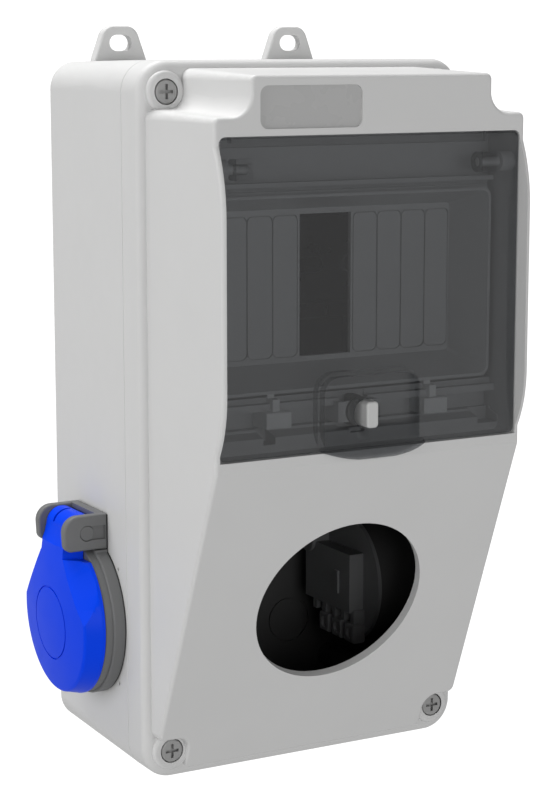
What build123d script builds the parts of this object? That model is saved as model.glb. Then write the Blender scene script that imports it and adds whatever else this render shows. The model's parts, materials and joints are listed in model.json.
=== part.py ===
from build123d import *
import os
from math import cos, sin, radians, sqrt, pi

# ---------------------------------------------------------------------------
# Wall-mounted industrial socket box: back box, sloped front cover with a
# hinged smoked window over a row of modular openings, a round cut-out in the
# sloped lower face, and one flap-lidded outlet on each side.
# Millimetres. +X right (seen from the front), -Y to the front, +Z up.
# The row origin is the centre of the flat back face, so heights below are
# written from the lower edge of the box and moved down by half the height.
# ---------------------------------------------------------------------------

# overall
W = 117.0            # width of box and cover flange
H = 228.0            # height of box and cover flange
D_BASE = 59.0        # depth of the back box, back face to seam
D_LEDGE = 71.2       # cover flange face
D_FRONT = 113.5      # front plate
D_CHEEK = 118.2      # crest of the cheeks beside the window
R_CORNER = 10.0
WALL = 2.5
DRAFT_BASE = 1.0     # degrees, back box
DRAFT_COVER = 2.0    # degrees, raised cover body
LEDGE = 2.5          # ledge width between flange edge and raised body

# sloped lower face
Z_KINK = 107.0
D_TOE = 71.6         # where the slope meets the ledge
Z_TOE = 2.5
WALL_S = 2.8         # wall of the sloped face

# notches round the cover screws
SCREW_X = 49.5
SCREW_Z_LO = 9.5
SCREW_Z_HI = 218.5
NOTCH_TOP_X = 43.7   # at the ledge, before draft
NOTCH_TOP_Z = 213.4
NOTCH_BOT_X = 45.0
NOTCH_BOT_Z = 14.2

# window
WIN_X = 52.9         # half width between the cheeks
WIN_Z0 = 110.4
WIN_Z1 = 206.4
HINGE_D = 108.0      # lid hinge axis, depth and height
HINGE_Z = 196.6
D_WELL = 96.0        # floor of the window well

# modular openings
MOD_Z0 = 135.8
MOD_Z1 = 180.6
D_TRAY = 84.0
MODULE = 18.0

# round cut-out
CUT_R = 29.6
CUT_S = 53.4         # distance from the kink down the slope

# side outlets
OUT_D = 32.5         # axis depth
OUT_Z = 47.0         # axis height
X_WALL = 58.6        # outlet flange plane
FL_R = 26.2
FL_X1 = 62.9
FL_X2 = 65.4
RECESS_R = 19.5
PIN_X = 65.6
PIN_Z = 76.9
PIN_R = 2.6
EAR_W = 24.4

HALF = H / 2

XZ = Plane.XZ


def prism(sk, d0, d1, taper=0.0):
    """extrude a front-view sketch (x, height) from depth d0 to depth d1"""
    return extrude(XZ.offset(d0) * sk, amount=d1 - d0, taper=taper)


def side(pts_face, x0, x1):
    """extrude a side-view face (drawn in depth, height) from x0 to x1"""
    return Pos(x0, 0, 0) * extrude(pts_face, amount=x1 - x0)


# side-view plane: local x runs to the front (-Y), local y is up (+Z)
SIDE = Plane(origin=(0, 0, 0), x_dir=(0, -1, 0), z_dir=(-1, 0, 0))


def side_prism(sk, x0, x1):
    """side-view sketch (depth, height) extruded between x0 and x1"""
    pl = Plane(origin=(x1, 0, 0), x_dir=(0, -1, 0), z_dir=(-1, 0, 0))
    return extrude(pl * sk, amount=x1 - x0)


def poly(*pts):
    return make_face(Polyline(*[(p[0], p[1], 0) for p in pts], close=True))


def box(x0, x1, d0, d1, z0, z1):
    """box from x0..x1, depth d0..d1 (forward), height z0..z1"""
    return Pos((x0 + x1) / 2, -(d0 + d1) / 2, (z0 + z1) / 2) * Box(abs(x1 - x0), abs(d1 - d0), abs(z1 - z0))


def cyl_y(x, z, d0, d1, r):
    return Pos(x, -(d0 + d1) / 2, z) * Rot(90, 0, 0) * Cylinder(r, abs(d1 - d0))


def cyl_x(x0, x1, d, z, r):
    return Pos((x0 + x1) / 2, -d, z) * Rot(0, 90, 0) * Cylinder(r, abs(x1 - x0))


def rrect(x0, x1, z0, z1, r):
    return Pos((x0 + x1) / 2, (z0 + z1) / 2) * RectangleRounded(x1 - x0, z1 - z0, r)


def write(shape, name):
    s = Pos(0, 0, -HALF) * shape
    s.label = name
    export_step(s, "parts/" + name + ".step")
    b = s.bounding_box()
    print(name, "solids", len(s.solids()), "vol", round(s.volume, 1),
          "x", round(b.min.X, 2), round(b.max.X, 2), "y", round(b.min.Y, 2), round(b.max.Y, 2),
          "z", round(b.min.Z, 2), round(b.max.Z, 2))


os.makedirs("parts", exist_ok=True)

# ---------------------------------------------------------------------------
# back box: drafted shell, screw pillars, rail posts, wall ears, outlet holes
# ---------------------------------------------------------------------------
base_sk = rrect(-W / 2, W / 2, 0, H, R_CORNER)
# drafted solid, widest at the seam: drawn at the seam and extruded backwards
seam_back = Plane(origin=(0, -D_BASE, 0), x_dir=(-1, 0, 0), z_dir=(0, 1, 0))
back_outer = extrude(seam_back * base_sk, amount=D_BASE, taper=DRAFT_BASE)
back_outer = fillet(back_outer.faces().sort_by(Axis.Y)[-1].edges(), 2.0)
back_outer = chamfer(back_outer.faces().sort_by(Axis.Y)[0].edges(), 0.3)
inner_sk = rrect(-W / 2 + WALL, W / 2 - WALL, WALL, H - WALL, R_CORNER - WALL)
back_inner = extrude(seam_back * inner_sk, amount=D_BASE - WALL, taper=DRAFT_BASE)
back_box = back_outer - back_inner

pillars = []
for sx in (-1, 1):
    for z in (SCREW_Z_LO, SCREW_Z_HI):
        pillars.append(cyl_y(sx * SCREW_X, z, WALL - 0.5, D_BASE, 4.4))
        # web that ties the pillar to the side wall
        xw = sx * (W / 2 - WALL / 2)
        pillars.append(box(min(sx * SCREW_X, xw), max(sx * SCREW_X, xw), WALL - 0.5, D_BASE - 1.6, z - 0.8, z + 0.8))
RAIL_Z = (MOD_Z0 + MOD_Z1) / 2
RAIL_D0 = 30.5
RAIL_X = 40.0
for sx in (-1, 1):
    pillars.append(cyl_y(sx * RAIL_X, RAIL_Z, WALL - 0.5, RAIL_D0, 4.2))
    for dz in (-1, 1):
        pillars.append(box(sx * RAIL_X - 0.8, sx * RAIL_X + 0.8, WALL - 0.5, 20, RAIL_Z + dz * 3.6, RAIL_Z + dz * 9.0))
for p in pillars:
    back_box += p
# keep pillars and webs inside the drafted outside
back_box = back_box & back_outer

# wall ears: trapezoids with rounded tops, flush with the back
EAR_X = 32.5
EAR_Z = 233.1
EAR_T = 3.4
SLOT_L = 8.2
SLOT_W = 5.4
UPPER_EARS = []
for sx in (-1, 1):
    ear = make_face(Polyline((sx * EAR_X - 9.6, 224.0), (sx * EAR_X - 9.6, 227.6), (sx * EAR_X - 5.6, 238.7),
                             (sx * EAR_X + 5.6, 238.7), (sx * EAR_X + 9.6, 227.6), (sx * EAR_X + 9.6, 224.0),
                             close=True))
    ear = fillet(ear.vertices().group_by(Axis.Y)[-1], 4.6)
    ear = extrude(XZ * ear, amount=EAR_T)
    UPPER_EARS.append(fillet(ear.faces().sort_by(Axis.Y)[0].edges(), 0.8))
mid = Plane(origin=(0, 0, HALF), x_dir=(1, 0, 0), z_dir=(0, 0, 1))
for e3 in UPPER_EARS:
    back_box += e3
    back_box += mirror(e3, about=mid)
for sx in (-1, 1):
    for ze in (EAR_Z, H - EAR_Z):
        slot = Pos(sx * EAR_X, ze) * SlotOverall(SLOT_L, SLOT_W)
        back_box -= prism(slot, -1, EAR_T + 1)

# outlet holes in the side walls
for sx in (-1, 1):
    back_box -= cyl_x(min(sx * 50, sx * 62), max(sx * 50, sx * 62), OUT_D, OUT_Z, 23.3)
    # two small pilot dimples beside the outlet for its wall screws
    for (dd, zz) in ((52.4, 65.9), (52.4, 27.8)):
        back_box -= cyl_x(min(sx * 57.6, sx * 62), max(sx * 57.6, sx * 62), dd, zz, 0.7)

# cover screw pilot holes
for sx in (-1, 1):
    for z in (SCREW_Z_LO, SCREW_Z_HI):
        back_box -= cyl_y(sx * SCREW_X, z, 34, D_BASE + 1, 1.52)
    back_box -= cyl_y(sx * RAIL_X, RAIL_Z, 14, RAIL_D0 + 1, 1.32)

# knock-outs: ring grooves in the lower wall and in the back wall
for x in (-28.0, 0.0, 28.0):
    ring = Pos(x, -30.0, 0) * (Cylinder(10.6, 1.7) - Cylinder(9.9, 3.0))
    back_box -= ring
for x in (-32.5, 32.5):
    back_box -= cyl_y(x, 25.0, WALL - 0.7, WALL + 0.5, 8.4) - cyl_y(x, 25.0, 0, WALL + 1, 7.8)

# groove in the rim for the seal
rim_o = rrect(-W / 2 + 0.75, W / 2 - 0.75, 0.75, H - 0.75, R_CORNER - 0.75)
rim_i = rrect(-W / 2 + 1.85, W / 2 - 1.85, 1.85, H - 1.85, R_CORNER - 1.85)
seal_ring = prism(rim_o, D_BASE - 0.9, D_BASE + 0.9) - prism(rim_i, D_BASE - 1, D_BASE + 1)
back_box -= seal_ring
write(back_box, "back_box")
write(seal_ring, "cover_seal")

# ---------------------------------------------------------------------------
# front cover
# ---------------------------------------------------------------------------
flange = prism(base_sk, D_BASE, D_LEDGE)
flange = fillet(flange.faces().sort_by(Axis.Y)[0].edges(), 3.0)
flange = chamfer(flange.faces().sort_by(Axis.Y)[-1].edges(), 0.3)

BX = W / 2 - LEDGE            # raised body half width at the ledge
BZ0 = LEDGE
BZ1 = H - LEDGE


def body_outline(off):
    """front view of the raised body at the ledge, inset by off"""
    bx = BX - off
    z0 = BZ0 + off
    z1 = BZ1 - off
    tx = NOTCH_TOP_X - off
    tz = NOTCH_TOP_Z - off
    lx = NOTCH_BOT_X - off
    lz = NOTCH_BOT_Z + off
    pts = [(-lx, z0), (lx, z0), (lx, lz), (bx, lz), (bx, tz), (tx, tz), (tx, z1),
           (-tx, z1), (-tx, tz), (-bx, tz), (-bx, lz), (-lx, lz)]
    f = make_face(Polyline(*pts, close=True))
    vs = f.vertices()

    def near(px, pz):
        return min(vs, key=lambda v: (v.X - px) ** 2 + (v.Y - pz) ** 2)

    concave_top = [near(tx, tz), near(-tx, tz)]
    concave_bot = [near(lx, lz), near(-lx, lz)]
    convex = [near(a * tx, z1) for a in (-1, 1)] + [near(a * bx, tz) for a in (-1, 1)]
    convex_b = [near(a * bx, lz) for a in (-1, 1)] + [near(a * lx, z0) for a in (-1, 1)]
    f = fillet(concave_top, 5.0 + off)
    vs = f.vertices()
    f = fillet([near(lx, lz), near(-lx, lz)], 4.2 + off)
    vs = f.vertices()
    f = fillet([near(a * tx, z1) for a in (-1, 1)], 3.4 - off * 0.8)
    vs = f.vertices()
    f = fillet([near(a * bx, tz) for a in (-1, 1)], 3.4 - off * 0.8)
    vs = f.vertices()
    f = fillet([near(a * bx, lz) for a in (-1, 1)], 2.6 - off * 0.6)
    vs = f.vertices()
    f = fillet([near(a * lx, z0) for a in (-1, 1)], 2.4 - off * 0.6)
    return f


def cheek_wire(off, z_lo, z_hi, d_back, kink=None):
    """closed side-view face: front line with the cheek bulge, inset by off"""
    dF = D_FRONT - off
    dC = D_CHEEK - off
    za, zb = 131.0, 183.0          # straight crest
    zs, ze = 112.8, 203.5          # bulge start and end on the front plane
    # mid points of the two tangent arcs
    Rt = ((ze - zb) ** 2 + (dC - dF) ** 2) / (2 * (dC - dF))
    Rb = ((za - zs) ** 2 + (dC - dF) ** 2) / (2 * (dC - dF))
    zt_m = zb + (ze - zb) * 0.55
    zb_m = za - (za - zs) * 0.55
    dt_m = dC - (Rt - sqrt(Rt ** 2 - (zt_m - zb) ** 2))
    db_m = dC - (Rb - sqrt(Rb ** 2 - (zb_m - za) ** 2))
    lines = []
    if kink is not None:
        (dk0, zk0), (dk1, zk1) = kink
        lines += [Line((dk0, zk0), (dk1, zk1)), Line((dk1, zk1), (dF, zs))]
        start = (dk0, zk0)
    else:
        start = (dF, z_lo)
        lines += [Line(start, (dF, zs))]
    lines += [ThreePointArc((dF, zs), (db_m, zb_m), (dC, za)),
              Line((dC, za), (dC, zb)),
              ThreePointArc((dC, zb), (dt_m, zt_m), (dF, ze)),
              Line((dF, ze), (dF, z_hi)),
              Line((dF, z_hi), (d_back, z_hi)),
              Line((d_back, z_hi), (d_back, start[1]))]
    if start[0] != d_back:
        lines += [Line((d_back, start[1]), start)]
    return make_face(lines)


outer_side = cheek_wire(0.0, 0, 232, 60.0, kink=((D_TOE, Z_TOE), (D_FRONT, Z_KINK)))
raised = prism(body_outline(0.0), D_LEDGE - 1.0, 122.0, taper=DRAFT_COVER)
raised = raised & side_prism(outer_side, -60, 60)
# soften the front edges of the raised body
try:
    kink_edges = raised.edges().filter_by(Axis.X).filter_by(lambda e: abs(e.center().Z - Z_KINK) < 0.5)
    raised = fillet(kink_edges, 3.0)
except Exception as exc:
    print("kink fillet skipped", exc)


def front_edges(sh):
    out = []
    for e in sh.edges():
        c = e.center()
        if abs(c.X) > 58 or -c.Y < 74:
            continue
        bb = e.bounding_box()
        on_front = False
        n = 0
        for t in (0.02, 0.25, 0.5, 0.75, 0.98):
            p = e.position_at(t)
            d, z = -p.Y, p.Z
            if z >= 203.5 or (Z_KINK - 0.2) <= z <= 112.8:
                target = D_FRONT
            elif z < Z_KINK:
                target = D_TOE + (z - Z_TOE) * (D_FRONT - D_TOE) / (Z_KINK - Z_TOE)
            elif z > 183:
                R = 47.06
                target = D_CHEEK - (R - sqrt(max(R * R - (z - 183) ** 2, 0)))
            elif z < 131:
                R = 37.6
                target = D_CHEEK - (R - sqrt(max(R * R - (z - 131) ** 2, 0)))
            else:
                target = D_CHEEK
            if abs(d - target) < 0.35:
                n += 1
        if n == 5:
            # only the rim of the front faces: skip lines inside the front (x-parallel seams)
            if bb.size.X > 60 and z < 220 and z > 10:
                continue
            out.append(e)
    return out


fe = front_edges(raised)
done = False
for rr in (1.2, 1.3, 0.7):
    try:
        r2 = fillet(fe, rr)
        if r2.is_valid:
            raised = r2
            print("front rim fillet", rr, len(fe))
            done = True
            break
    except Exception as exc:
        print("front rim fillet failed", rr, exc)

cover = flange + raised

# hollow inside: flange cavity and raised-body cavity
cav_flange = prism(rrect(-W / 2 + WALL, W / 2 - WALL, WALL, H - WALL, R_CORNER - WALL), D_BASE - 1, D_LEDGE - WALL)
SL = sqrt((D_FRONT - D_TOE) ** 2 + (Z_KINK - Z_TOE) ** 2)
sd, sz = (D_FRONT - D_TOE) / SL, (Z_KINK - Z_TOE) / SL
# the sloped wall has one thickness over its whole length
ia = (D_TOE - WALL_S * sz, Z_TOE + WALL_S * sd)
ib = (D_FRONT - WALL_S * sz, Z_KINK + WALL_S * sd)
inner_side = poly((50, ia[1]), ia, ib, (D_FRONT - WALL, ib[1] + 0.4), (D_FRONT - WALL, 232), (50, 232))
cav_body = prism(body_outline(WALL), D_BASE, 122.0, taper=DRAFT_COVER) & side_prism(inner_side, -60, 60)
cav = cav_flange + cav_body

# the window well stays closed towards the inside: walls round a stepped well
well_outer = box(-60, 60, D_WELL - 2.0, 122, WIN_Z0 - 2.6, 212.6)
# slope under the well (sill) is filled solid behind the front plate
well_block = well_outer
cav = cav - well_block
# groove block for the lid's swinging top edge
groove_block = box(-60, 60, 88.0, 100, 200.0, 212.6)
cav = cav - groove_block
# keeper block behind the latch is part of the floor region
cover = cover - cav

# screw pads and counterbores
PAD_R = 6.4
PAD_D = 72.6
for sx in (-1, 1):
    for z in (SCREW_Z_LO, SCREW_Z_HI):
        pad = cyl_y(sx * SCREW_X, z, D_LEDGE - 2.0, PAD_D, PAD_R)
        pad = fillet(pad.edges().group_by(Axis.Y)[0], 1.2)
        pil = cyl_y(sx * SCREW_X, z, D_BASE, D_LEDGE - 1.0, 4.6)
        lim = prism(base_sk, D_BASE, 90)
        cover += (pad + pil) & lim
for sx in (-1, 1):
    for z in (SCREW_Z_LO, SCREW_Z_HI):
        cover -= cyl_y(sx * SCREW_X, z, PAD_D - 2.3, PAD_D + 12.0, 4.0)
        cover -= cyl_y(sx * SCREW_X, z, D_BASE - 1, PAD_D, 1.75)
cover -= seal_ring

# --- window well ---------------------------------------------------------
# open well between the cheeks, down to its floor
well = prism(rrect(-WIN_X, WIN_X, WIN_Z0, WIN_Z1, 2.2), 104.0, 122)
cover -= well
well_deep = box(-WIN_X, WIN_X, D_WELL, 106.0, 117.0, 207.9)
cover -= well_deep
# room for the lid's top edge as it swings about the hinge
cover -= cyl_x(-WIN_X, WIN_X, HINGE_D, HINGE_Z, 11.2) & box(-60, 60, 90, 112.5, 180, 212)
# deep groove at the top of the well
cover -= box(-WIN_X + 1.0, WIN_X - 1.0, 94.5, 106.0, 202.3, 207.9)
# sill: slope from the well floor out to the front plate
sill_cut = side_prism(poly((104.0, 117.5), (104.0, 115.0), (111.2, WIN_Z0 + 0.05), (114.5, WIN_Z0 + 0.05), (122, 117.5)), -WIN_X, WIN_X)
cover -= sill_cut
cover -= side_prism(poly((99.5, 117.2), (99.5, 116.2), (104.1, 114.9), (104.1, 117.2)), -WIN_X, WIN_X)
# steps above the clip band
cover += box(-WIN_X - 0.3, WIN_X + 0.3, D_WELL - 0.5, 99.0, 124.6, 126.6)
cover += box(-WIN_X - 0.3, WIN_X + 0.3, D_WELL - 0.5, 101.6, 122.7, 124.9)
# ledge under the hinge zone
cover += box(-WIN_X - 0.3, WIN_X + 0.3, D_WELL - 0.5, 99.4, 190.3, 191.7)
# two oblong pockets in the sill beside the clips
cover -= box(-33.2, -29.0, 97.5, 105.0, 112.8, 117.3)
cover -= box(45.0, 52.6, 97.5, 105.0, 112.8, 117.3)
# opening in the well floor for the module frame
FR_X = 51.2
FR_Z0 = 127.6
FR_Z1 = 188.2
cover -= prism(rrect(-50.5, 50.5, 128.9, 187.1, 2.5), D_WELL - 5, D_WELL + 0.2)
# seats of the hinge pins in the cheeks: small round bosses
for sx in (-1, 1):
    xa, xb = sx * 48.2, sx * (WIN_X + 0.3)
    cover += cyl_x(min(xa, xb), max(xa, xb), HINGE_D, HINGE_Z, 3.1)
    cover += box(min(xa, xb), max(xa, xb), D_WELL - 0.5, HINGE_D, HINGE_Z - 2.2, HINGE_Z + 2.2)
# latch keeper with its upright slot
LATCH_Z = 120.8
cover += box(-7.2, 7.2, D_WELL - 0.5, 104.6, 117.6, 124.0)
cover -= box(-5.2, 5.2, 98.6, 103.2, 115.2, 126.4)
cover -= box(-2.6, 2.6, 102.0, 106.0, 114.0, 126.4)
# blank recessed plate area on the top plate
cover -= prism(rrect(-39.2, -4.5, 208.4, 221.0, 2.6), D_FRONT - 0.8, D_FRONT + 1)

# --- round cut-out in the sloped face ------------------------------------
CUT_D = D_FRONT - CUT_S * sd
CUT_Z = Z_KINK - CUT_S * sz
cut_plane = Plane(origin=(0, -CUT_D, CUT_Z), x_dir=(1, 0, 0), z_dir=(0, -sz, -sd))
cover -= extrude(cut_plane * Circle(CUT_R), amount=8, both=True)
for sx in (-1, 1):
    xa, xb = sorted((sx * 47.0, sx * 50.6))
    cover -= cyl_x(xa, xb, HINGE_D, HINGE_Z, 1.52)
print("cut-out centre depth", CUT_D, "height", CUT_Z, "normal", -sz, -sd)
write(cover, "front_cover")

# cover screws: cross-recess pan heads
k = 0
for (sx, z, nm) in ((-1, SCREW_Z_HI, "upper_left"), (1, SCREW_Z_HI, "upper_right"),
                    (-1, SCREW_Z_LO, "lower_left"), (1, SCREW_Z_LO, "lower_right")):
    head = cyl_y(sx * SCREW_X, z, PAD_D - 2.25, PAD_D + 0.15, 3.72)
    head = fillet(head.edges().group_by(Axis.Y)[0], 0.6)
    shank = cyl_y(sx * SCREW_X, z, 40.0, PAD_D - 2.0, 1.5)
    s = head + shank
    for (a, b) in ((4.6, 1.0), (1.0, 4.6)):
        s -= box(sx * SCREW_X - a / 2, sx * SCREW_X + a / 2, PAD_D - 1.2, PAD_D + 1, z - b / 2, z + b / 2)
    write(s, "cover_screw_" + nm)

# ---------------------------------------------------------------------------
# module frame: flared tray with pre-scored blanks and a one-module opening
# ---------------------------------------------------------------------------


def flare(x_f, z0_f, z1_f, d_f, r_f, x_b, z0_b, z1_b, d_b, r_b):
    a = XZ.offset(d_f) * rrect(-x_f, x_f, z0_f, z1_f, r_f)
    b = XZ.offset(d_b) * rrect(-x_b, x_b, z0_b, z1_b, r_b)
    return loft([a, b])


tray = flare(51.0, 127.8, 188.0, 101.0, 3.0, 48.0, 132.6, 183.8, D_TRAY - 1.6, 1.5)
tray -= flare(50.1, 128.7, 187.1, 101.01, 2.4, 46.4, 134.2, 182.3, D_TRAY, 1.2)
tray += prism(rrect(-52.4, 52.4, 127.1, 188.9, 3.0), D_WELL, D_WELL + 1.4) - prism(rrect(-50.0, 50.0, 129.4, 186.6, 2.6), D_WELL - 1, D_WELL + 3)
tray -= box(-9.3, 9.3, D_TRAY - 4, D_TRAY + 2, MOD_Z0, MOD_Z1)
for s in (-1, 1):
    for i in range(4):
        xc = s * (14.5 + 9.0 * i)
        g = prism(rrect(xc - 4.5, xc + 4.5, MOD_Z0, MOD_Z1, 1.9), D_TRAY - 0.8, D_TRAY + 0.5)
        g -= prism(rrect(xc - 4.22, xc + 4.22, MOD_Z0 + 0.4, MOD_Z1 - 0.4, 1.6), D_TRAY - 1, D_TRAY + 1)
        tray -= g
write(tray, "module_frame")

# two clips that hold the frame on the well floor
for sx, nm in ((-1, "left"), (1, "right")):
    x0, x1 = sorted((sx * 24.0, sx * 32.6))
    clip = box(x0, x1, D_WELL, 105.0, 117.6, 122.7)
    clip = fillet(clip.edges().filter_by(Axis.X), 0.5)
    xm = (x0 + x1) / 2
    clip += box(xm - 1.2, xm + 1.2, 101.6, 103.2, 122.0, 125.2)
    clip += box(xm - 1.2, xm + 1.2, 99.0, 103.2, 124.9, 126.4)
    clip += box(xm - 1.2, xm + 1.2, 99.0, 99.8, 126.0, 127.9)
    clip += box(xm - 1.2, xm + 1.2, 97.4, 99.2, 126.6, 127.9)
    write(clip, "frame_clip_" + nm)

# ---------------------------------------------------------------------------
# mounting rail, 35 mm wide top-hat profile, with two fixing screws
# ---------------------------------------------------------------------------
rp = poly((RAIL_D0, RAIL_Z - 13.5), (RAIL_D0 + 6.5, RAIL_Z - 13.5), (RAIL_D0 + 6.5, RAIL_Z - 17.5), (RAIL_D0 + 7.5, RAIL_Z - 17.5),
          (RAIL_D0 + 7.5, RAIL_Z - 12.5), (RAIL_D0 + 1.0, RAIL_Z - 12.5), (RAIL_D0 + 1.0, RAIL_Z + 12.5), (RAIL_D0 + 7.5, RAIL_Z + 12.5),
          (RAIL_D0 + 7.5, RAIL_Z + 17.5), (RAIL_D0 + 6.5, RAIL_Z + 17.5), (RAIL_D0 + 6.5, RAIL_Z + 13.5), (RAIL_D0, RAIL_Z + 13.5))
rail = side_prism(rp, -48, 48)
for sx in (-1, 1):
    rail -= cyl_y(sx * RAIL_X, RAIL_Z, RAIL_D0 - 1, RAIL_D0 + 3, 1.9)
for x in (-24.0, -8.0, 8.0, 24.0):
    rail -= prism(Pos(x, RAIL_Z) * SlotOverall(12.0, 5.0), RAIL_D0 - 1, RAIL_D0 + 3)
write(rail, "mounting_rail")
for sx, nm in ((-1, "left"), (1, "right")):
    s = cyl_y(sx * RAIL_X, RAIL_Z, RAIL_D0 + 1.0, RAIL_D0 + 3.0, 3.4)
    s = fillet(s.edges().group_by(Axis.Y)[0], 0.6)
    s += cyl_y(sx * RAIL_X, RAIL_Z, 16.0, RAIL_D0 + 1.5, 1.3)
    s -= box(sx * RAIL_X - 2.2, sx * RAIL_X + 2.2, RAIL_D0 + 2.0, RAIL_D0 + 4, RAIL_Z - 0.45, RAIL_Z + 0.45)
    s -= box(sx * RAIL_X - 0.45, sx * RAIL_X + 0.45, RAIL_D0 + 2.0, RAIL_D0 + 4, RAIL_Z - 2.2, RAIL_Z + 2.2)
    write(s, "rail_screw_" + nm)

# ---------------------------------------------------------------------------
# window lid: smoked flat pane with a top flange, hinge lugs and finger pocket.
# Past 95 degrees the pane meets the webs of the cheek bosses.
# ---------------------------------------------------------------------------
LID_X = 52.7
LID_Z0 = 110.8
LID_Z1 = 206.0
LID_D = 113.05       # outer face, just under the front plate
T_LID = 1.8

pane_sk = rrect(-LID_X, LID_X, LID_Z0, LID_Z1, 1.9)
lid = prism(pane_sk, LID_D - T_LID, LID_D)
lid = fillet(lid.edges().group_by(Axis.Y)[0], 0.45)
lid += box(-47.6, 47.6, 108.45, LID_D - 0.9, LID_Z1 - 1.5, LID_Z1)
# hinge lugs
for sx in (-1, 1):
    xa, xb = sorted((sx * 40.4, sx * 46.0))
    lug = cyl_x(xa, xb, HINGE_D, HINGE_Z, 3.2)
    web = side_prism(poly((HINGE_D - 3.0, HINGE_Z - 1.0), (HINGE_D + 1.0, HINGE_Z - 3.1), (112.0, HINGE_Z - 3.2), (112.0, HINGE_Z + 3.2), (HINGE_D, HINGE_Z + 3.15)),
                     xa, xb)
    lid += lug + web
for sx in (-1, 1):
    xa, xb = sorted((sx * 39.0, sx * 50.0))
    lid -= cyl_x(xa, xb, HINGE_D, HINGE_Z, 1.55)
# finger pocket in the lower middle, its floor running out into a pull tab
PK_X = 17.0
PK_TOP = 133.2
PK_D = 110.0
PK_W = 1.4
front_line = [(PK_D, 117.4), (110.15, 116.2), (110.6, 115.1), (111.4, 113.9), (112.6, 112.6), (114.4, 111.0), (115.9, 109.6), (116.35, 108.8), (116.2, 108.0), (115.5, 107.6)]
back_line = [(114.4, 107.6), (113.9, 108.1), (113.85, 110.2), (113.2, 110.9), (111.5, 112.2), (110.1, 113.6), (109.0, 115.4), (108.55, 116.8), (108.4, 118.0)]


def pocket_area(off, d0, d1):
    a_ = box(-PK_X - off, PK_X + off, d0, d1, 100.0, PK_TOP + off)
    return fillet(a_.edges().filter_by(Axis.Y).group_by(Axis.Z)[-1], 5.0 + off)


RT = ((PK_X + 1.3) ** 2 + 3.2 ** 2) / (2 * 3.2)
arc = cyl_y(0, 107.6 + RT, 100, 125, RT)
floor = side_prism(poly((PK_D, 140.0), *front_line, *back_line, (108.4, 140.0)), -30, 30)
floor = floor & pocket_area(PK_W, 100, 125) & arc
behind = side_prism(poly((108.4, 140.0), (108.4, 118.0), *reversed(back_line[3:-1]), (113.2, 140.0)), -30, 30)
wall = (pocket_area(PK_W, 108.4, LID_D - 0.9) - pocket_area(0.0, 100, 125)) & behind
pocket_void = side_prism(poly((PK_D, 140.0), *front_line[:-3], (125.0, 108.0), (125.0, 140.0)), -30, 30) & pocket_area(0.0, 100, 125)
lid = lid + wall + floor
lid = lid - pocket_void
# round hole for the latch
lid -= cyl_y(0, LATCH_Z, 100, 112.5, 4.75)
write(lid, "window_lid")

# latch: turning knob with an upright wing and a cam behind the lid
knob = box(-2.1, 2.1, 105.9, 113.4, LATCH_Z - 4.15, LATCH_Z + 4.15)
knob = fillet(knob.edges().filter_by(Axis.Y), 1.3)
knob = fillet(knob.edges().group_by(Axis.Y)[0], 0.7)
cam = cyl_y(0, LATCH_Z, 99.6, 105.0, 1.9) + cyl_y(0, LATCH_Z, 104.9, 105.9, 4.6)
cam_bar = box(-2.0, 2.0, 99.4, 102.6, LATCH_Z - 4.8, LATCH_Z + 4.8) & cyl_y(0, LATCH_Z, 99, 103, 4.9)
write(knob, "latch_knob")
write(cam + cam_bar, "latch_cam")

# hinge pins of the window lid
for sx, nm in ((-1, "left"), (1, "right")):
    xa, xb = sorted((sx * 40.9, sx * 50.6))
    write(cyl_x(xa, xb, HINGE_D, HINGE_Z, 1.5), "lid_pin_" + nm)

# ---------------------------------------------------------------------------
# side outlets: drawn on the left wall, mirrored to the right
# ---------------------------------------------------------------------------


def oc(x0, x1, r, d=OUT_D, z=OUT_Z):
    """disc on the outlet axis between x = -x0 and x = -x1"""
    return cyl_x(-x1, -x0, d, z, r)


def ob(x0, x1, d0, d1, z0, z1):
    return box(-x1, -x0, d0, d1, z0, z1)


def front_prism(sk, d0, d1):
    return prism(sk, d0, d1)


def mirror_x(s):
    return mirror(s, about=Plane.YZ)


D0 = OUT_D - EAR_W / 2
D1 = OUT_D + EAR_W / 2
EAR_T2 = 3.2

# body: wall flange, second step, bowl and hinge bracket
head_blk = ob(X_WALL, FL_X1, D0, D1, OUT_Z + 12, PIN_Z - 6.0)
flb = oc(X_WALL, FL_X1, FL_R)
flb = fillet(flb.edges().group_by(Axis.X)[0], 0.7)
flb = chamfer(flb.edges().group_by(Axis.X)[-1], 0.5)
body = flb + head_blk
step2 = oc(FL_X1 - 0.2, FL_X2, FL_R - 0.8)
step2 = fillet(step2.edges().group_by(Axis.X)[0], 0.4)
body += step2
body += oc(40.0, X_WALL + 0.5, 22.6)
ear_face = make_face([Line((-X_WALL, 71.2), (-71.0, 71.2)), ThreePointArc((-71.0, 71.2), (-72.75, 71.9), (-73.5, 73.6)),
                      Line((-73.5, 73.6), (-73.7, 77.6)), ThreePointArc((-73.7, 77.6), (-72.2, 81.28), (-68.6, 82.8)),
                      Line((-68.6, 82.8), (-X_WALL, 82.8)), Line((-X_WALL, 82.8), (-X_WALL, 71.2))])
for (da, db) in ((D0, D0 + EAR_T2), (D1 - EAR_T2, D1)):
    e = prism(ear_face, da, db)
    for er in (0.7, 0.5, 0.3):
        try:
            e2 = fillet(e.faces().sort_by(Axis.Y)[0].edges() + e.faces().sort_by(Axis.Y)[-1].edges(), er)
            if e2.is_valid:
                e = e2
                break
        except Exception as exc:
            print("ear fillet failed", er, exc)
    body += e
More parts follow.
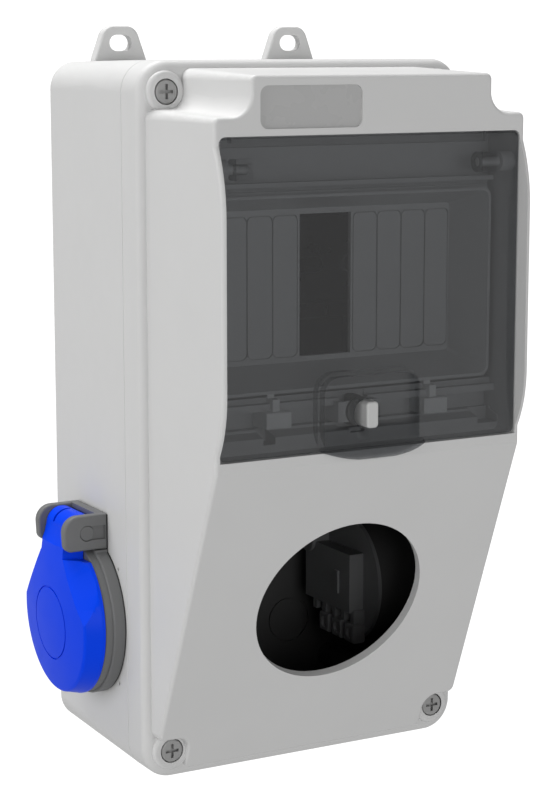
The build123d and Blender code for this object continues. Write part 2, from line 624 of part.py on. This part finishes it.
# bridge across the ears, along the wall
body += ob(X_WALL, 59.8, D0 + 1, D1 - 1, 66.0, 82.6)
body += ob(X_WALL, 61.7, D0 + 1, D1 - 1, 81.0, 82.8)
body -= cyl_y(-PIN_X, PIN_Z, OUT_D - 8.95, OUT_D + 8.95, 5.8) & ob(60.2, 80, 0, 80, 60, 90)   # room for the lid's barrel
body -= oc(X_WALL - 9.8, 75, RECESS_R)                 # round recess
body -= oc(39.0, X_WALL - 9.7, RECESS_R)               # seat of the contact carrier
body -= cyl_y(-PIN_X, PIN_Z, D0 - 1, D1 + 1, PIN_R)
# shallow slot beside the pin on both ears
for (da, db) in ((D0 - 0.1, D0 + 0.9), (D1 - 0.9, D1 + 0.1)):
    body -= box(-PIN_X + 1.6, -X_WALL - 0.6, da, db, PIN_Z - 2.3, PIN_Z + 2.3)
# guide ribs inside the recess
for sd_ in (-1, 1):
    body += ob(X_WALL - 9.0, FL_X2 - 1.2, OUT_D + sd_ * 18.9 - 1.3, OUT_D + sd_ * 18.9 + 1.3, OUT_Z - 2.6, OUT_Z + 2.6) & oc(40, 70, FL_R - 3)

# contact carrier with its two round contact holes and rear terminal tower
ins = oc(39.5, X_WALL - 9.8, RECESS_R - 0.04)
ins += oc(38.6, 40.0, 22.6)
ins += ob(33.0, 38.8, OUT_D - 18.0, OUT_D + 12.5, 37.2, 58.0)
for i in range(5):
    dd = OUT_D - 14.5 + i * 6.4
    ins += ob(34.2, 38.8, dd, dd + 2.4, 33.2, 38.0)
ins += ob(32.2, 33.2, OUT_D + 3.0, OUT_D + 5.6, 43.0, 51.0)
ins += cyl_x(-38.8, -31.8, OUT_D - 15.5, 58.5, 4.6)
for sd_ in (-1, 1):
    ins -= cyl_x(-X_WALL, -40.5, OUT_D + sd_ * 9.5, OUT_Z, 2.75)
# slots for the earth strap, top and bottom
for sz_ in (-1, 1):
    za, zb = sorted((OUT_Z + sz_ * 15.4, OUT_Z + sz_ * 17.6))
    ins -= ob(44.4, 50, OUT_D - 2.8, OUT_D + 2.8, za, zb)
ins -= oc(X_WALL - 11.0, X_WALL, 2.9)

# brass contact sleeves behind the holes
sleeves = []
for sd_ in (-1, 1):
    sl = cyl_x(-47.6, -40.5, OUT_D + sd_ * 9.5, OUT_Z, 2.72) - cyl_x(-49, -42.0, OUT_D + sd_ * 9.5, OUT_Z, 2.35)
    sl -= box(-48, -42.4, OUT_D + sd_ * 9.5 - 0.4, OUT_D + sd_ * 9.5 + 0.4, OUT_Z - 4, OUT_Z + 4)
    sleeves.append(sl)

# earth strap: one bent spring contact at the top and one at the bottom
straps = []
for sz_ in (-1, 1):
    def zz(v):
        return OUT_Z + sz_ * v
    prof = make_face(Polyline((-44.4, zz(16.0)), (-49.4, zz(16.0)), (-53.5, zz(14.4)), (-58.2, zz(15.4)), (-63.2, zz(18.0)),
                              (-62.8, zz(18.7)), (-57.8, zz(16.2)), (-53.5, zz(15.3)), (-49.6, zz(16.9)), (-44.4, zz(16.9)), close=True))
    st = prism(prof, OUT_D - 2.3, OUT_D + 2.3)
    straps.append(st)
# floor screw in the middle of the carrier
fscrew = cyl_x(-49.6, -47.6, OUT_D, OUT_Z, 2.8)
fscrew = fillet(fscrew.edges().group_by(Axis.X)[0], 0.5)
fscrew -= box(-51, -49.0, OUT_D - 0.4, OUT_D + 0.4, OUT_Z - 3, OUT_Z + 3)

# three wire clamps under the tower
clamps = []
for i in range(3):
    dd = OUT_D - 9.0 + i * 8.6
    c = ob(33.6, 38.6, dd, dd + 5.6, 26.4, 33.1)
    c = fillet(c.edges().filter_by(Axis.Y), 0.8)
    c -= cyl_x(-34.6, -33.0, dd + 2.8, 29.8, 1.9)
    clamps.append(c)

# flange seal against the drafted wall
gask = (oc(56.6, X_WALL, FL_R - 0.35) + ob(56.6, X_WALL, D0 + 0.4, D1 - 0.4, OUT_Z + 12, PIN_Z + 5.5)) - oc(50, 60, 22.65) - back_outer

# hinge pin
pin = cyl_y(-PIN_X, PIN_Z, D0 + 0.15, D1 - 0.15, PIN_R - 0.14)
pin = fillet(pin.edges(), 0.25)

# lid: domed cap, trimmed shoulders, neck and barrel
LID_R0 = 25.7          # at the rim
LID_R1 = 24.3          # at the edge of the face
LX0 = FL_X2 + 0.25
LX1 = 72.5             # edge of the face
APEX = 74.4            # highest point of the dome
BAR_R = 5.4
cap = loft([Plane(origin=(-LX0, -OUT_D, OUT_Z), x_dir=(0, 1, 0), z_dir=(-1, 0, 0)) * Circle(LID_R0),
            Plane(origin=(-LX0 - 1.0, -OUT_D, OUT_Z), x_dir=(0, 1, 0), z_dir=(-1, 0, 0)) * Circle(LID_R0)], ruled=True)
k_ = (LID_R0 - LID_R1) / (LX1 - LX0 - 0.9)
cone = loft([Plane(origin=(-LX0 - 0.9, -OUT_D, OUT_Z), x_dir=(0, 1, 0), z_dir=(-1, 0, 0)) * Circle(LID_R0),
             Plane(origin=(-76.5, -OUT_D, OUT_Z), x_dir=(0, 1, 0), z_dir=(-1, 0, 0)) * Circle(LID_R1 - k_ * (76.5 - LX1))], ruled=True)
cap = cap + cone
# slightly domed face, its highest point a little above the middle
DOME = 156.0
dome = Pos(-APEX + DOME, -OUT_D, OUT_Z + 3.0) * Sphere(DOME)
cap = cap & dome
for fr in (1.3, 1.0, 0.8):
    try:
        ed = [e for e in cap.edges() if e.center().X < -LX0 - 3.5 and e.bounding_box().size.Z > 20]
        c2 = fillet(ed, fr)
        if c2.is_valid:
            cap = c2
            break
    except Exception as exc:
        print("lid face fillet skipped", fr, exc)
# shoulders cut back beside the neck, clear of the ears as the lid swings
cap = cap - ((ob(60, 80, 0, OUT_D - 8.7, 68.4, 90) + ob(60, 80, OUT_D + 8.7, 80, 68.4, 90)))
cap = cap - (cyl_y(-PIN_X, PIN_Z, 0, OUT_D - 8.7, 9.05) + cyl_y(-PIN_X, PIN_Z, OUT_D + 8.7, 80, 9.05))
# upper sides of the face bevelled down to the rim, so the face narrows to the neck
cutters, cutters_in = [], []
for sgn in (-1, 1):
    out_y, out_z = -sgn * 0.794, 0.607
    nv = (-0.648, out_y * 0.7619, out_z * 0.7619)
    for lst, back in ((cutters, 0.0), (cutters_in, 1.9)):
        pl = Plane(origin=(-73.0 - nv[0] * back, -OUT_D + out_y * 20.26 - nv[1] * back, OUT_Z + out_z * 20.26 - nv[2] * back), z_dir=nv)
        lst.append(pl * Pos(0, 0, 20) * Box(90, 90, 40))
for c_ in cutters:
    cap = cap - c_
neck = front_prism(poly((-LX0, 62.0), (-LX0, 74.0), (-PIN_X + 0.5, PIN_Z - 2), (-PIN_X - BAR_R + 0.05, PIN_Z + 0.6), (-71.75, 74.4), (-72.6, 72.2), (-75.0, 69.5), (-75.0, 62.0)), OUT_D - 8.6, OUT_D + 8.6) & dome
barrel = cyl_y(-PIN_X, PIN_Z, OUT_D - 8.7, OUT_D + 8.7, BAR_R)
flap = cap + neck
# hollow inside of the cap
hollow = oc(LX0 - 1, 70.9, 22.6) & ob(60, 80, 0, 80, 0, 65.4)
for c_ in cutters_in:
    hollow = hollow - c_
flap -= hollow
flap += barrel
flap -= cyl_y(-PIN_X, PIN_Z, 0, 80, PIN_R + 0.05)
# seal rib inside
rib = (oc(LX0 + 0.6, 71.1, 21.6) - oc(LX0 - 1, 72, 20.4)) & ob(60, 80, 0, 80, 0, 64.8)
for c_ in cutters:
    rib = rib - c_
flap += rib
# spring room in the barrel with a narrow slit over it, and the shallow ring groove on the face
flap -= cyl_y(-PIN_X, PIN_Z, OUT_D - 4.2, OUT_D + 4.2, 3.9)
flap -= ob(PIN_X - 1.0, 76, OUT_D - 3.9, OUT_D - 2.7, PIN_Z + 1.5, 90)
ringg = (cyl_x(-80, -60, OUT_D, OUT_Z - 1.5, 12.3) - cyl_x(-81, -59, OUT_D, OUT_Z - 1.5, 11.75))
shell_in = Pos(-APEX + DOME + 0.45, -OUT_D, OUT_Z + 3.0) * Sphere(DOME)
flap -= ringg & (ob(68, 80, 0, 80, 20, 70) - shell_in)

# return spring round the pin, seen in the barrel's notch
coil = None
for i in range(8):
    t = Pos(-PIN_X, -(OUT_D - 3.15 + i * 0.9), PIN_Z) * Rot(90, 0, 0) * Torus(3.1, 0.47)
    coil = t if coil is None else coil + t

for nm, f in (("left", lambda s: s), ("right", mirror_x)):
    write(f(body), "outlet_body_" + nm)
    write(f(ins), "outlet_carrier_" + nm)
    for j, s in enumerate(sleeves):
        write(f(s), "contact_sleeve_%s_%s" % (("rear", "front")[j], nm))
    for j, s in enumerate(straps):
        write(f(s), "earth_contact_%s_%s" % (("lower", "upper")[j], nm))
    write(f(fscrew), "carrier_screw_" + nm)
    for j, s in enumerate(clamps):
        write(f(s), "wire_clamp_%d_%s" % (j + 1, nm))
    write(f(gask), "outlet_seal_" + nm)
    write(f(pin), "flap_pin_" + nm)
    write(f(flap), "outlet_flap_" + nm)
    write(f(coil), "flap_spring_" + nm)
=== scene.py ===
import bpy
import bmesh
import json
import math
from mathutils import Vector, Matrix

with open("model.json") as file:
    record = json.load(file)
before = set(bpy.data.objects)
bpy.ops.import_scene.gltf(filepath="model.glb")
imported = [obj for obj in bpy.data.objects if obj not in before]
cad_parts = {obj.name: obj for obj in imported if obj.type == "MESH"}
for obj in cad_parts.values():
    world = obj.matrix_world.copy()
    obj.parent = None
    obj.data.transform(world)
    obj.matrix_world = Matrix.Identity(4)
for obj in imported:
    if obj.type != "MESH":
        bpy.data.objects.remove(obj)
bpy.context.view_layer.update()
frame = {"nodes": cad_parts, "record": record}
NODES = frame["nodes"]


scene = bpy.context.scene
MM = 0.001
HALF = 114.0            # heights below are from the box's lower edge, in mm


def P(x, d, z):
    """point from x, depth forward of the wall and height above the lower edge, in mm"""
    return Vector((x * MM, -d * MM, (z - HALF) * MM))


# ---------------------------------------------------------------------------
# camera at the photograph's viewing angle
# ---------------------------------------------------------------------------
yaw, el = 0.5069, 0.1682
F = Vector((math.sin(yaw) * math.cos(el), math.cos(yaw) * math.cos(el), -math.sin(el)))
R = Vector((math.cos(yaw), -math.sin(yaw), 0.0))
U = R.cross(F)
cam_data = bpy.data.cameras.new("camera")
cam = bpy.data.objects.new("camera", cam_data)
scene.collection.objects.link(cam)
m = Matrix((R, U, -F)).transposed().to_4x4()
m.translation = Vector((-0.33447, -0.65600, 0.11945))
cam.matrix_world = m
cam_data.sensor_width = 36.0
cam_data.sensor_fit = "AUTO"
cam_data.lens = 94.932
cam_data.clip_start = 0.05
cam_data.clip_end = 20.0
scene.camera = cam
scene.view_settings.view_transform = "Standard"

# ---------------------------------------------------------------------------
# materials
# ---------------------------------------------------------------------------


class Mat:
    def __init__(self, name):
        self.m = bpy.data.materials.new(name)
        self.m.use_nodes = True
        self.t = self.m.node_tree
        self.t.nodes.clear()
        self.out = self.t.nodes.new("ShaderNodeOutputMaterial")

    def n(self, kind, **props):
        x = self.t.nodes.new(kind)
        for k, v in props.items():
            if k.startswith("i_"):
                x.inputs[k[2:]].default_value = v
            else:
                setattr(x, k, v)
        return x

    def link(self, a, b):
        self.t.links.new(a, b)


def moulded(name, colour, rough, grain=0.0, grain_size=0.35, mottle=0.02, specular=0.5, coat=0.0, coat_rough=0.1,
            rough_var=0.05, wave=0.0, metallic=0.0, sheen=0.0):
    """moulded plastic or metal: fine grain in the bump, slow changes of colour and roughness"""
    a = Mat(name)
    bs = a.n("ShaderNodeBsdfPrincipled")
    bs.inputs["Specular IOR Level"].default_value = specular
    bs.inputs["Metallic"].default_value = metallic
    if coat:
        bs.inputs["Coat Weight"].default_value = coat
        bs.inputs["Coat Roughness"].default_value = coat_rough
    co = a.n("ShaderNodeTexCoord")
    n1 = a.n("ShaderNodeTexNoise")
    n1.inputs["Scale"].default_value = 38.0
    n1.inputs["Detail"].default_value = 3.0
    n1.inputs["Roughness"].default_value = 0.55
    a.link(co.outputs["Object"], n1.inputs["Vector"])
    ramp = a.n("ShaderNodeValToRGB")
    ramp.color_ramp.elements[0].position = 0.32
    ramp.color_ramp.elements[1].position = 0.68
    lo = [c * (1 - mottle) for c in colour]
    hi = [min(1.0, c * (1 + mottle)) for c in colour]
    ramp.color_ramp.elements[0].color = (*lo, 1)
    ramp.color_ramp.elements[1].color = (*hi, 1)
    a.link(n1.outputs["Fac"], ramp.inputs["Fac"])
    a.link(ramp.outputs["Color"], bs.inputs["Base Color"])
    n2 = a.n("ShaderNodeTexNoise")
    n2.inputs["Scale"].default_value = 140.0
    n2.inputs["Detail"].default_value = 2.0
    a.link(co.outputs["Object"], n2.inputs["Vector"])
    mr = a.n("ShaderNodeMapRange")
    mr.inputs["From Min"].default_value = 0.3
    mr.inputs["From Max"].default_value = 0.7
    mr.inputs["To Min"].default_value = max(0.0, rough - rough_var)
    mr.inputs["To Max"].default_value = min(1.0, rough + rough_var)
    a.link(n2.outputs["Fac"], mr.inputs["Value"])
    a.link(mr.outputs["Result"], bs.inputs["Roughness"])
    if grain > 0:
        n3 = a.n("ShaderNodeTexNoise")
        n3.inputs["Scale"].default_value = 1.0 / (grain_size * MM)
        n3.inputs["Detail"].default_value = 2.0
        n3.inputs["Roughness"].default_value = 0.6
        a.link(co.outputs["Object"], n3.inputs["Vector"])
        bp = a.n("ShaderNodeBump")
        bp.inputs["Strength"].default_value = grain
        bp.inputs["Distance"].default_value = 0.00012
        a.link(n3.outputs["Fac"], bp.inputs["Height"])
        a.link(bp.outputs["Normal"], bs.inputs["Normal"])
    a.link(bs.outputs["BSDF"], a.out.inputs["Surface"])
    return a.m


def smoked(name, tint, gloss_rough=0.03, f0=0.04, boost=1.0):
    """clear smoked plastic: tinted see-through with a mirror-like top layer"""
    a = Mat(name)
    tr = a.n("ShaderNodeBsdfTransparent")
    tr.inputs["Color"].default_value = (*tint, 1)
    gl = a.n("ShaderNodeBsdfGlossy")
    gl.inputs["Color"].default_value = (1, 1, 1, 1)
    gl.inputs["Roughness"].default_value = gloss_rough
    lw = a.n("ShaderNodeLayerWeight")
    lw.inputs["Blend"].default_value = 0.5
    pw = a.n("ShaderNodeMath", operation="POWER")
    pw.inputs[1].default_value = 4.0
    a.link(lw.outputs["Facing"], pw.inputs[0])
    ma = a.n("ShaderNodeMath", operation="MULTIPLY_ADD")
    ma.inputs[1].default_value = 0.9 * boost
    ma.inputs[2].default_value = f0
    a.link(pw.outputs[0], ma.inputs[0])
    mx = a.n("ShaderNodeMixShader")
    a.link(ma.outputs[0], mx.inputs["Fac"])
    a.link(tr.outputs[0], mx.inputs[1])
    a.link(gl.outputs[0], mx.inputs[2])
    a.link(mx.outputs[0], a.out.inputs["Surface"])
    return a.m


ABS = (0.600, 0.600, 0.597)
MATS = {
    "box_shell": moulded("abs_box", ABS, 0.50, grain=0.05, grain_size=0.30, mottle=0.008, specular=0.35),
    "cover_shell": moulded("abs_cover", ABS, 0.50, grain=0.05, grain_size=0.30, mottle=0.008, specular=0.35),
    "frame": moulded("abs_frame", (0.64, 0.64, 0.635), 0.45, grain=0.04, mottle=0.010, specular=0.35),
    "clip": moulded("abs_clip", (0.90, 0.90, 0.89), 0.40, grain=0.04, specular=0.4),
    "cover_screw": moulded("screw_plastic", (0.30, 0.30, 0.297), 0.38, grain=0.04, mottle=0.02),
    "seal": moulded("seal_rubber", (0.018, 0.018, 0.019), 0.75, grain=0.12),
    "zinc_steel": moulded("zinc", (0.62, 0.63, 0.65), 0.36, metallic=1.0, mottle=0.08, rough_var=0.10),
    "pin_steel": moulded("pin_plastic_light", (0.66, 0.66, 0.65), 0.40, mottle=0.02),
    "small_screw": moulded("screw_steel", (0.62, 0.62, 0.63), 0.30, metallic=1.0, mottle=0.05),
    "knob": moulded("knob_plastic", (0.55, 0.55, 0.545), 0.30, mottle=0.01, coat=0.3, rough_var=0.03),
    "cam": moulded("cam_plastic", (0.09, 0.09, 0.092), 0.45, grain=0.05),
    "outlet": moulded("outlet_plastic", (0.140, 0.142, 0.143), 0.48, grain=0.10, mottle=0.02, specular=0.4),
    "carrier": moulded("carrier_plastic", (0.170, 0.173, 0.176), 0.48, grain=0.06, mottle=0.02, specular=0.4),
    "contact": moulded("brass", (0.75, 0.55, 0.26), 0.28, metallic=1.0, mottle=0.05),
    "earth": moulded("tinned_brass", (0.70, 0.67, 0.60), 0.30, metallic=1.0, mottle=0.05),
    "clamp": moulded("clamp_dark", (0.200, 0.200, 0.204), 0.40, mottle=0.04),
    "flap_pin": moulded("pin_plastic", (0.125, 0.127, 0.128), 0.42, grain=0.06),
    "flap": moulded("flap_plastic", (0.0, 0.050, 0.780), 0.36, grain=0.03, mottle=0.012, specular=0.08, rough_var=0.03),
    "spring": moulded("spring_steel", (0.62, 0.62, 0.63), 0.22, metallic=1.0, mottle=0.03),
    "window": smoked("smoked_window", (0.615, 0.622, 0.630), gloss_rough=0.04, f0=0.05, boost=0.8),
}
# painted shade: a near-black material stands in for the shade inside the box, the cover and the outlet barrel
PAINTED_INSIDE_SHADE = moulded("painted_inside_shade", (0.070, 0.070, 0.070), 0.85, mottle=0.02, specular=0.1)
# plaque floor: a real smoother polished finish, and a darker base colour that is painted shade on the set-back plaque
PLAQUE_POLISH_AND_SHADE = moulded("plaque_polish_and_painted_shade", (0.43, 0.43, 0.428), 0.28, mottle=0.006, specular=0.35)
SLOT = {s["node"]: s["material_slot"] for s in frame["record"]["subparts"]}


def finish_node(o, bevel=0.16, angle=38.0, segs=2):
    me = o.data
    for nm in ("custom_normal",):
        if nm in me.attributes:
            me.attributes.remove(me.attributes[nm])
    for p in me.polygons:
        p.use_smooth = True
    w = o.modifiers.new("weld", "WELD")
    w.merge_threshold = 0.000004
    if bevel:
        b = o.modifiers.new("edge", "BEVEL")
        b.width = bevel * MM
        b.segments = segs
        b.limit_method = "ANGLE"
        b.angle_limit = math.radians(angle)
        b.use_clamp_overlap = True
        b.harden_normals = False
    e = o.modifiers.new("split", "EDGE_SPLIT")
    e.split_angle = math.radians(32.0)
    e.use_edge_sharp = False
    wn = o.modifiers.new("flat_faces", "WEIGHTED_NORMAL")
    wn.mode = "FACE_AREA"
    wn.weight = 50


def slope_d(z):
    """depth of the outer front face at a height above the lower edge"""
    return 71.6 + (z - 2.5) * (113.5 - 71.6) / (107.0 - 2.5) if z < 107.0 else 113.5


def rr_in(x, z, hx, hz, r, inset):
    """inside a rounded rectangle about the middle of the box, by more than the inset"""
    qx = abs(x) - (hx - r)
    qz = abs(z - HALF) - (hz - r)
    return math.hypot(max(qx, 0.0), max(qz, 0.0)) + min(max(qx, qz), 0.0) - r < -inset


# faces inside the front cover, which take the painted dark inside shade
def cover_inside(x, d, z):
    ax = abs(x)
    if d < 69.9:
        return d > 59.4 and rr_in(x, z, 58.5, 114.0, 10.0, 1.9)
    if ax > 39.0 and (z > 211.5 or z < 16.0):
        return False
    if z > 225.5 - (d - 71.0) * 0.035 - 1.3:
        return False
    if 107.6 < z < 212.8 and d > 93.8:
        return False
    # wall of the round cut-out
    cd, cz = 93.6269, 57.4357
    t = (d - cd) * 0.92817 - (z - cz) * 0.372156
    rr = x * x + (d - cd) ** 2 + (z - cz) ** 2 - t * t
    if 28.9 ** 2 < rr < 30.3 ** 2 and t > -3.4:
        return False
    return ax < 56.0 - (d - 71.0) * 0.035 - 1.1 and 3.6 < z < 224.4 and d < slope_d(z) - 1.4


# faces inside the back box, which take the painted dark inside shade
def box_inside(x, d, z):
    k = (59.0 - d) * 0.0175
    return 1.2 < d < 58.2 and rr_in(x, z, 58.5 - k, 114.0 - k, 10.0 - k, 1.3)


for name, o in NODES.items():
    o.data.materials.clear()
    o.data.materials.append(MATS[SLOT[name]])
    painted_shade_test = None
    if name == "front_cover":
        painted_shade_test = cover_inside
    elif name == "back_box":
        painted_shade_test = box_inside
    elif name.startswith("outlet_body"):
        # the barrel's outside and rear end, within the box's wall, take the painted inside shade
        painted_shade_test = lambda x, d, z: abs(x) < 48.0 or (abs(x) < 56.0 and math.hypot(d - 32.5, z - 47.0) > 21.8)
    for p in o.data.polygons:
        p.material_index = 0
    if painted_shade_test:
        o.data.materials.append(PAINTED_INSIDE_SHADE)
        if name == "front_cover":
            o.data.materials.append(PLAQUE_POLISH_AND_SHADE)
        mw = o.matrix_world
        rot = mw.to_3x3()
        for p in o.data.polygons:
            c = mw @ p.center
            x, d, z = c.x / MM, -c.y / MM, c.z / MM + HALF
            # inward-facing side faces of the cover also take the painted inside shade
            facing_in = False
            if name == "front_cover" and d > 59.4 and abs(x) > 50.0 and (z < 107.0 or d < 93.0):
                facing_in = (rot @ p.normal).x * (1.0 if x > 0 else -1.0) < -0.5
            if painted_shade_test(x, d, z) or facing_in:
                p.material_index = 1
            # the recessed plaque floor takes the polished material with its painted shade
            elif name == "front_cover" and abs(d - 112.7) < 0.02 and 208.0 < z < 221.5:
                p.material_index = 2
    finish_node(o, bevel=0)

# ---------------------------------------------------------------------------
# floor, backdrop and light
# ---------------------------------------------------------------------------
fm = Mat("floor")
fe = fm.n("ShaderNodeEmission")
fe.inputs["Color"].default_value = (1, 1, 1, 1)
fe.inputs["Strength"].default_value = 1.15
lp = fm.n("ShaderNodeLightPath")
glow = fm.n("ShaderNodeEmission")
glow.inputs["Color"].default_value = (1, 1, 1, 1)
glow.inputs["Strength"].default_value = 0.56
mx = fm.n("ShaderNodeMixShader")
fm.link(lp.outputs["Is Camera Ray"], mx.inputs["Fac"])
fm.link(glow.outputs[0], mx.inputs[1])
fm.link(fe.outputs[0], mx.inputs[2])
fm.link(mx.outputs[0], fm.out.inputs["Surface"])
me = bpy.data.meshes.new("floor")
s = 6.0
zf = -0.1262
me.from_pydata([(-s, -s, zf), (s, -s, zf), (s, s, zf), (-s, s, zf)], [], [(0, 1, 2, 3)])
me.materials.append(fm.m)
floor = bpy.data.objects.new("floor", me)
scene.collection.objects.link(floor)

world = bpy.data.worlds.new("studio")
world.use_nodes = True
scene.world = world
wt = world.node_tree
wt.nodes.clear()
wo = wt.nodes.new("ShaderNodeOutputWorld")
bg_light = wt.nodes.new("ShaderNodeBackground")
bg_light.inputs["Color"].default_value = (1, 1, 1, 1)
bg_light.inputs["Strength"].default_value = 0.20
bg_cam = wt.nodes.new("ShaderNodeBackground")
bg_cam.inputs["Color"].default_value = (1, 1, 1, 1)
bg_cam.inputs["Strength"].default_value = 1.15
wl = wt.nodes.new("ShaderNodeLightPath")
wm = wt.nodes.new("ShaderNodeMixShader")
wt.links.new(wl.outputs["Is Camera Ray"], wm.inputs["Fac"])
wt.links.new(bg_light.outputs[0], wm.inputs[1])
wt.links.new(bg_cam.outputs[0], wm.inputs[2])
wt.links.new(wm.outputs[0], wo.inputs["Surface"])


def area(name, loc, target, size, power, spread=180.0):
    d = bpy.data.lights.new(name, "AREA")
    d.shape = "RECTANGLE"
    d.size, d.size_y = size
    d.energy = power
    d.spread = math.radians(spread)
    o = bpy.data.objects.new(name, d)
    scene.collection.objects.link(o)
    o.location = loc
    v = Vector(target) - Vector(loc)
    o.rotation_euler = v.to_track_quat("-Z", "Y").to_euler()
    return o


area("top", (-0.10, 0.50, 1.47), (0, -0.05, 0), (1.3, 1.0), 33.0)
area("left", (-1.60, -0.15, 0.25), (0, -0.05, 0), (1.0, 1.2), 15.0)
area("front", (-0.12, -1.60, 0.18), (0, -0.05, 0), (1.2, 0.6), 8.2)
